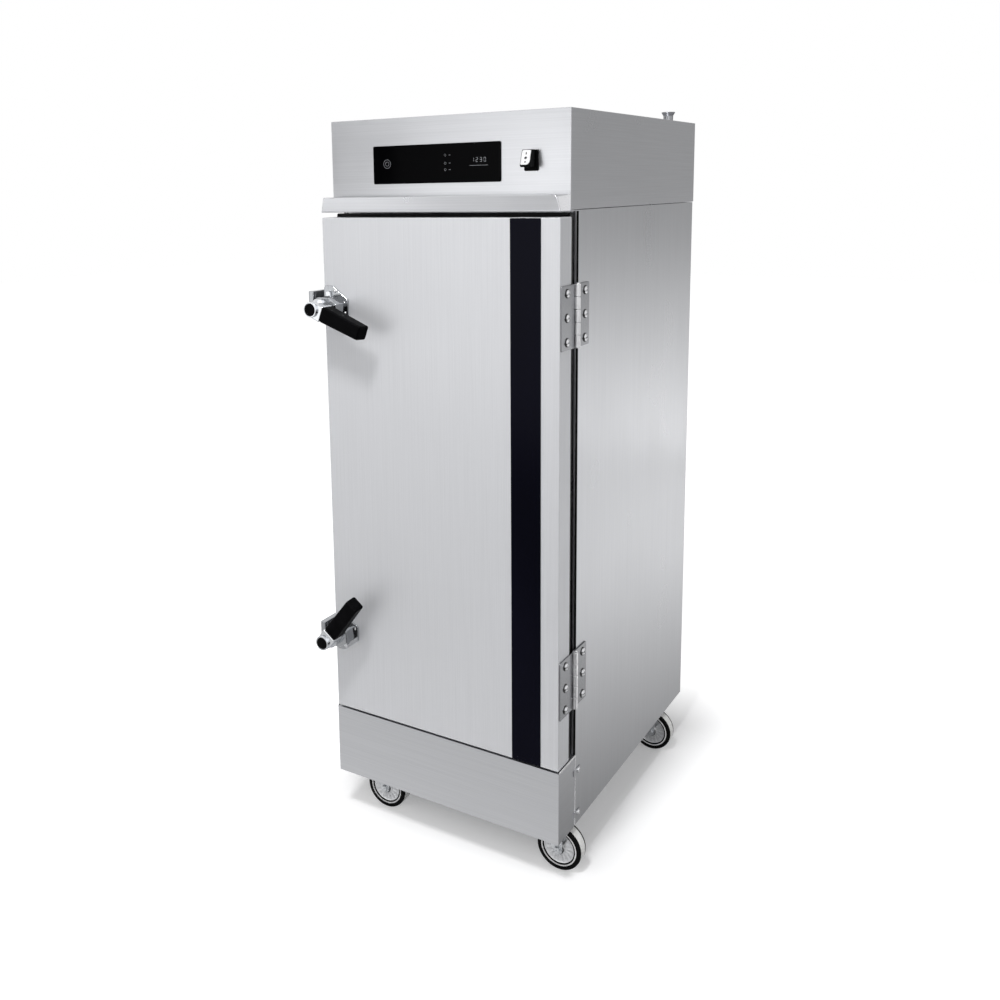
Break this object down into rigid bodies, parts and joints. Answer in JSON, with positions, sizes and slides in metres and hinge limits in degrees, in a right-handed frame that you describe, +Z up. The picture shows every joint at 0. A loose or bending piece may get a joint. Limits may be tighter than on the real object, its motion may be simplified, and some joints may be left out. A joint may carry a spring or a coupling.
{
  "type": "steam cabinet",
  "caption": "Upright stainless steam cabinet on swivel castors with a side-hung door, cam latches, tray racks over a heated water tank and a control head.",
  "frame": {"origin": "on the floor, under the middle of the object's box", "axes": "+Z up, -Y out of the door, +X to the right as seen from in front"},
  "size_m": [0.6044, 0.889, 1.6163],
  "materials": {
    "brushed_stainless": "brushed",
    "satin_stainless": "satin",
    "chromed_zinc": "polished",
    "zinc_plated_steel": "satin",
    "brass": "satin",
    "black_moulding": "satin",
    "black_glass": "gloss",
    "navy_film": "satin",
    "silicone_seal": "matte",
    "castor_rubber": "matte",
    "wheel_casting": "satin",
    "control_housing": "matte"
  },
  "bodies": {
    "cabinet": {"side_panel_left": "brushed_stainless", "side_panel_right": "brushed_stainless", "back_panel": "brushed_stainless", "plinth": "brushed_stainless", "head_shell": "brushed_stainless", "head_top_cover": "brushed_stainless", "head_back_cover": "brushed_stainless", "drip_lip": "brushed_stainless", "roof_panel": "satin_stainless", "liner_left": "satin_stainless", "liner_right": "satin_stainless", "liner_back": "satin_stainless", "face_frame": "satin_stainless", "water_tank": "satin_stainless", "drip_plate": "satin_stainless", "tray_rack_left": "satin_stainless", "tray_rack_right": "satin_stainless", "vent_stub": "satin_stainless", "hinge_frame_leaf_upper": "satin_stainless", "hinge_frame_leaf_lower": "satin_stainless", "keeper_upper": "chromed_zinc", "keeper_lower": "chromed_zinc", "base_chassis": "zinc_plated_steel", "heating_element": "zinc_plated_steel", "hinge_pin_upper": "zinc_plated_steel", "hinge_pin_lower": "zinc_plated_steel", "drain_valve_body": "brass", "water_inlet": "brass", "switch_base": "black_moulding", "cable_gland": "black_moulding", "display_glass": "black_glass", "control_unit": "control_housing"},
    "door": {"door_skin": "brushed_stainless", "door_inner_pan": "satin_stainless", "door_gasket": "silicone_seal", "door_strip": "navy_film", "hinge_door_leaf_upper": "satin_stainless", "hinge_door_leaf_lower": "satin_stainless", "latch_base_upper": "chromed_zinc", "latch_base_lower": "chromed_zinc"},
    "latch_upper": {"latch_lever_upper": "chromed_zinc", "latch_grip_upper": "black_moulding"},
    "latch_lower": {"latch_lever_lower": "chromed_zinc", "latch_grip_lower": "black_moulding"},
    "switch": {"switch_rocker": "black_moulding"},
    "roller_upper": {"keeper_roller_upper": "black_moulding"},
    "roller_lower": {"keeper_roller_lower": "black_moulding"},
    "drain_handle": {"drain_lever": "zinc_plated_steel"},
    "castor_front_left_swivel": {"castor_front_left_fork": "zinc_plated_steel"},
    "castor_front_left_roll": {"castor_front_left_wheel": "wheel_casting", "castor_front_left_tyre": "castor_rubber"},
    "castor_front_right_swivel": {"castor_front_right_fork": "zinc_plated_steel"},
    "castor_front_right_roll": {"castor_front_right_wheel": "wheel_casting", "castor_front_right_tyre": "castor_rubber"},
    "castor_rear_left_swivel": {"castor_rear_left_fork": "zinc_plated_steel"},
    "castor_rear_left_roll": {"castor_rear_left_wheel": "wheel_casting", "castor_rear_left_tyre": "castor_rubber"},
    "castor_rear_right_swivel": {"castor_rear_right_fork": "zinc_plated_steel"},
    "castor_rear_right_roll": {"castor_rear_right_wheel": "wheel_casting", "castor_rear_right_tyre": "castor_rubber"}
  },
  "joints": [
    {"name": "door_hinge", "type": "hinge", "parent": "cabinet", "child": "door", "pos_m": [0.28732, -0.2965, 0.82], "axis": [0, 0, 1], "range_deg": [0, 170]},
    {"name": "latch_upper_turn", "type": "hinge", "parent": "door", "child": "latch_upper", "pos_m": [-0.25518, -0.403, 1.2], "axis": [0, -1, 0], "range_deg": [0, 61]},
    {"name": "latch_lower_turn", "type": "hinge", "parent": "door", "child": "latch_lower", "pos_m": [-0.25518, -0.403, 0.456], "axis": [0, -1, 0], "range_deg": [-92, 0]},
    {"name": "switch_rock", "type": "hinge", "parent": "cabinet", "child": "switch", "pos_m": [0.20082, -0.3255, 1.5], "axis": [1, 0, 0], "range_deg": [0, 14]},
    {"name": "roller_upper_spin", "type": "hinge", "parent": "cabinet", "child": "roller_upper", "pos_m": [-0.28348, -0.3815, 1.2113], "axis": [1, 0, 0], "continuous": true},
    {"name": "roller_lower_spin", "type": "hinge", "parent": "cabinet", "child": "roller_lower", "pos_m": [-0.28348, -0.3815, 0.4447], "axis": [1, 0, 0], "continuous": true},
    {"name": "drain_lever_turn", "type": "hinge", "parent": "cabinet", "child": "drain_handle", "pos_m": [-0.14718, 0.4215, 0.2305], "axis": [0, 0, 1], "range_deg": [0, 90]},
    {"name": "castor_front_left_swivel_turn", "type": "hinge", "parent": "cabinet", "child": "castor_front_left_swivel", "pos_m": [-0.22018, -0.2815, 0.12], "axis": [0, 0, 1], "continuous": true},
    {"name": "castor_front_left_axle_roll", "type": "hinge", "parent": "castor_front_left_swivel", "child": "castor_front_left_roll", "pos_m": [-0.19418, -0.2815, 0.05037], "axis": [0, 1, 0], "continuous": true},
    {"name": "castor_front_right_swivel_turn", "type": "hinge", "parent": "cabinet", "child": "castor_front_right_swivel", "pos_m": [0.22582, -0.2815, 0.12], "axis": [0, 0, 1], "continuous": true},
    {"name": "castor_front_right_axle_roll", "type": "hinge", "parent": "castor_front_right_swivel", "child": "castor_front_right_roll", "pos_m": [0.25182, -0.2815, 0.05037], "axis": [0, 1, 0], "continuous": true},
    {"name": "castor_rear_left_swivel_turn", "type": "hinge", "parent": "cabinet", "child": "castor_rear_left_swivel", "pos_m": [-0.22018, 0.2805, 0.12], "axis": [0, 0, 1], "continuous": true},
    {"name": "castor_rear_left_axle_roll", "type": "hinge", "parent": "castor_rear_left_swivel", "child": "castor_rear_left_roll", "pos_m": [-0.19418, 0.2805, 0.05037], "axis": [0, 1, 0], "continuous": true},
    {"name": "castor_rear_right_swivel_turn", "type": "hinge", "parent": "cabinet", "child": "castor_rear_right_swivel", "pos_m": [0.22582, 0.2805, 0.12], "axis": [0, 0, 1], "continuous": true},
    {"name": "castor_rear_right_axle_roll", "type": "hinge", "parent": "castor_rear_right_swivel", "child": "castor_rear_right_roll", "pos_m": [0.25182, 0.2805, 0.05037], "axis": [0, 1, 0], "continuous": true}
  ]
}
